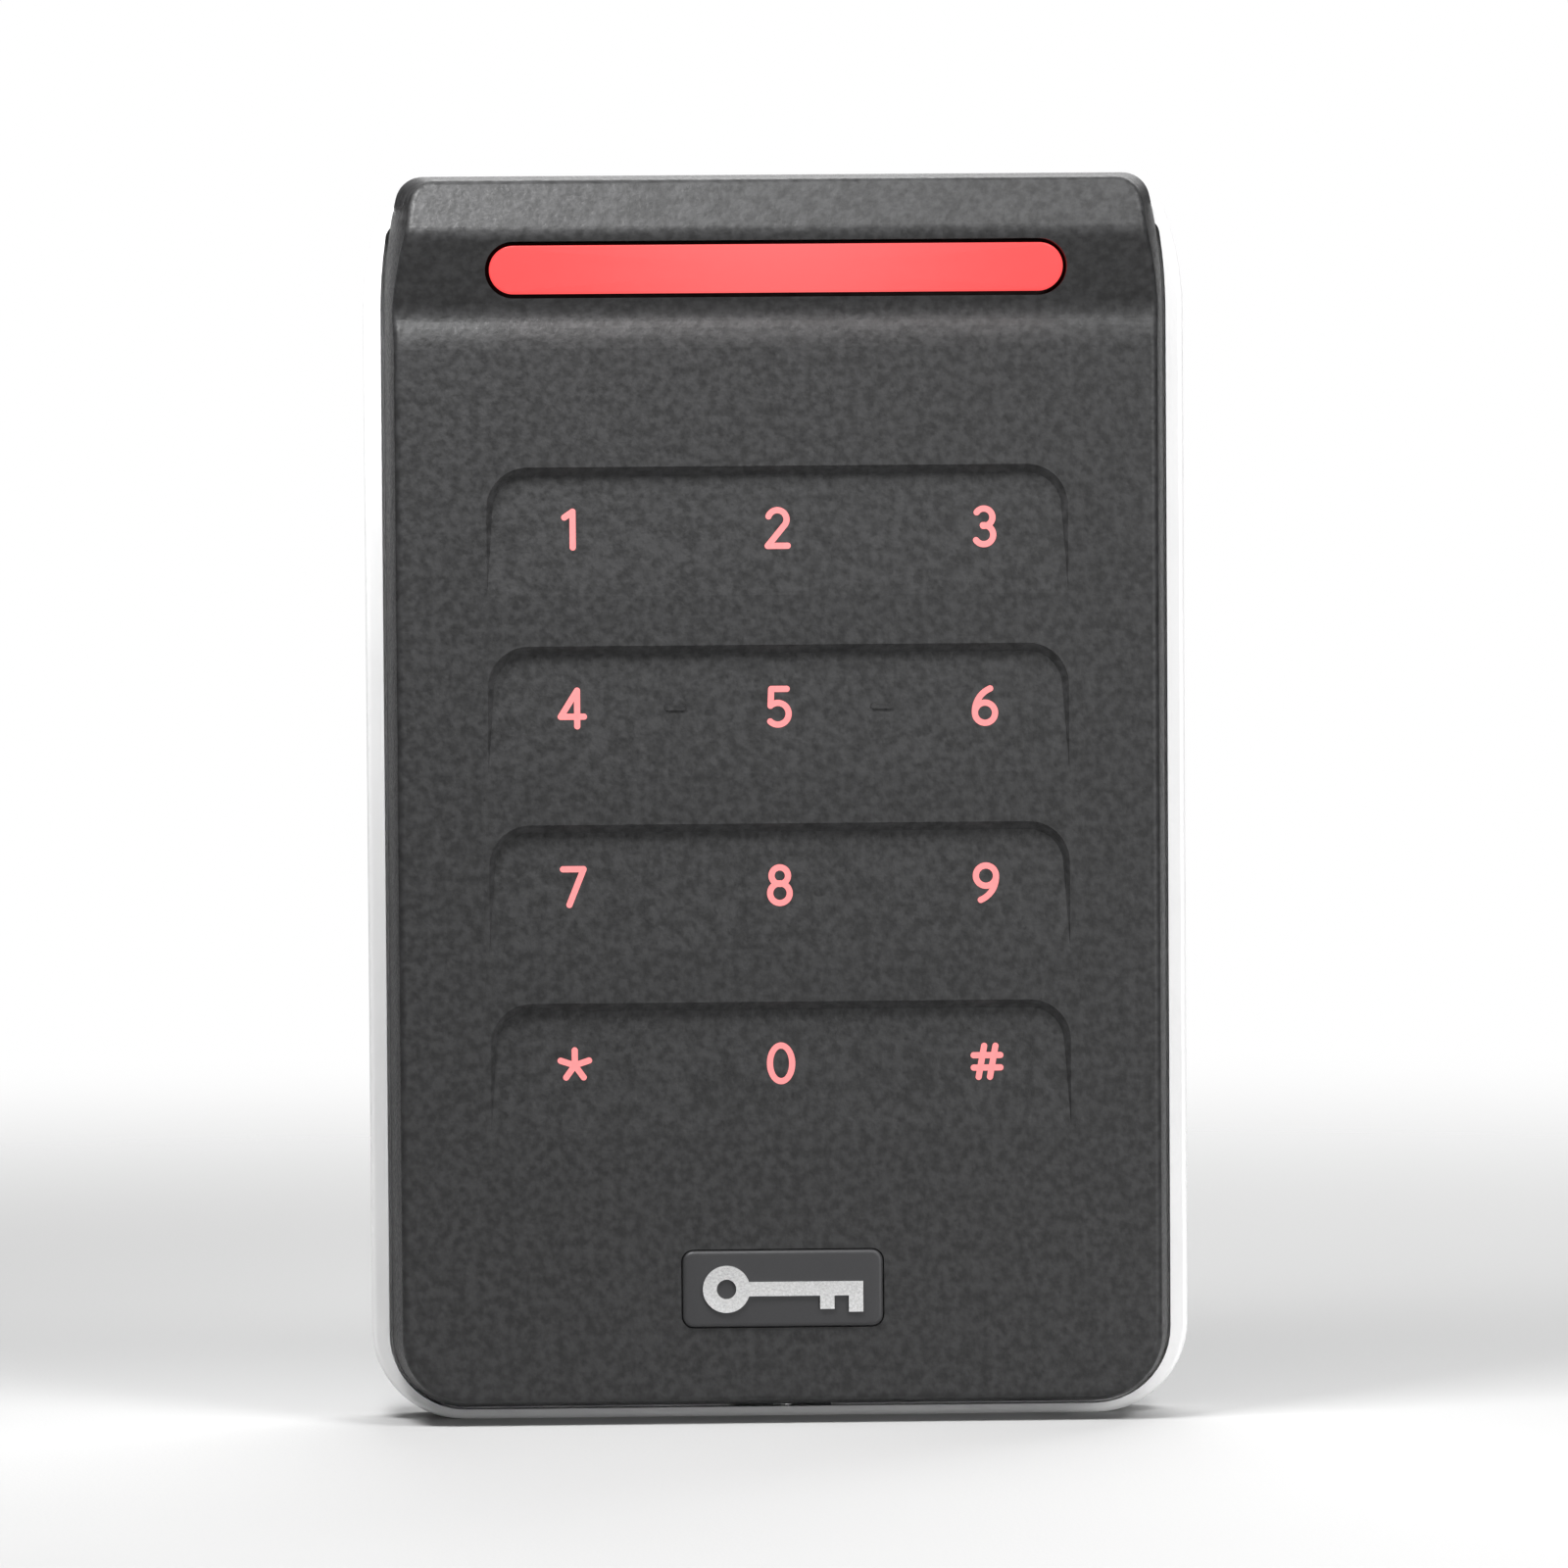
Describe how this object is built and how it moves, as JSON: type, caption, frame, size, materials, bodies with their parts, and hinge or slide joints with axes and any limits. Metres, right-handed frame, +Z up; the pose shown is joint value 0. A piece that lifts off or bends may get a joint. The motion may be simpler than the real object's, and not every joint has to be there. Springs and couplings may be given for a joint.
{
  "type": "rfid card reader",
  "caption": "Wall-mounted contactless card reader with a touch keypad, a hood with a lit status bar, a metal trim ring and a hook-on wall plate.",
  "frame": {"origin": "centre of the switch-box hole pattern, on the wall plane", "axes": "+Z up the wall, +Y into the wall, +X to the right as seen from the front; the front faces -Y"},
  "size_m": [0.08, 0.0195, 0.1216],
  "materials": {
    "plate_steel": "zinc plated",
    "screw_steel": "stainless",
    "shell_black": "fine satin",
    "trim_silver": "satin silver",
    "cover_black": "spark-eroded grain",
    "lens_red": "frosted, lit red",
    "badge_plate": "satin dark",
    "emblem_metal": "polished",
    "legend_red": "lit red",
    "seal_rubber": "soft matte",
    "clear_guide": "clear acrylic",
    "led_package": "white with phosphor",
    "diffuser_film": "milky",
    "board_green": "solder mask",
    "copper": "bare copper",
    "ferrite": "matte",
    "coil_wire": "enamelled copper",
    "connector_plastic": "moulded",
    "chip_epoxy": "moulded epoxy",
    "tinned_steel": "tinned",
    "capacitor_can": "satin",
    "tinned_pins": "tinned",
    "brass_insert": "machined",
    "zinc_screws": "zinc plated",
    "label_film": "matte film",
    "terminal_green": "moulded"
  },
  "bodies": {
    "wall_plate": {"mounting_plate": "plate_steel"},
    "reader": {"rear_shell": "shell_black", "trim_frame": "trim_silver", "front_cover": "cover_black", "light_bar_lens": "lens_red", "badge_plate": "badge_plate", "terminal_header_left": "terminal_green", "terminal_header_right": "terminal_green", "perimeter_seal": "seal_rubber", "light_guide": "clear_guide", "status_leds": "led_package", "key_legends": "legend_red", "badge_emblem": "emblem_metal", "legend_diffuser": "diffuser_film", "keypad_board": "board_green", "touch_electrodes": "copper", "backlight_leds": "led_package", "hf_antenna": "copper", "ferrite_sheet": "ferrite", "lf_coil": "coil_wire", "board_connector": "connector_plastic", "main_board": "board_green", "controller_chip": "chip_epoxy", "secure_chip": "chip_epoxy", "radio_module": "board_green", "radio_shield": "tinned_steel", "crystal": "tinned_steel", "power_inductor": "ferrite", "power_capacitors": "capacitor_can", "sounder": "chip_epoxy", "tamper_sensor": "chip_epoxy", "tamper_window": "clear_guide", "header_pins": "tinned_pins", "lock_insert": "brass_insert", "housing_screws": "zinc_screws", "board_screws": "zinc_screws", "rating_label": "label_film"},
    "lock_screw": {"security_screw": "screw_steel"},
    "plug_left": {"terminal_plug_left": "terminal_green", "plug_screws_left": "zinc_screws"},
    "plug_right": {"terminal_plug_right": "terminal_green", "plug_screws_right": "zinc_screws"}
  },
  "joints": [
    {"name": "reader_swing", "type": "hinge", "parent": "wall_plate", "child": "reader", "pos_m": [0, -0.0046, 0.0512], "axis": [-1, 0, 0], "range_deg": [0, 15]},
    {"name": "lock_screw_travel", "type": "slide", "parent": "reader", "child": "lock_screw", "axis": [0, 0, 1], "range_m": [0, 0.003]},
    {"name": "plug_left_pull", "type": "slide", "parent": "reader", "child": "plug_left", "axis": [0, 0, 1], "range_m": [0, 0.007]},
    {"name": "plug_right_pull", "type": "slide", "parent": "reader", "child": "plug_right", "axis": [0, 0, 1], "range_m": [0, 0.007]}
  ]
}
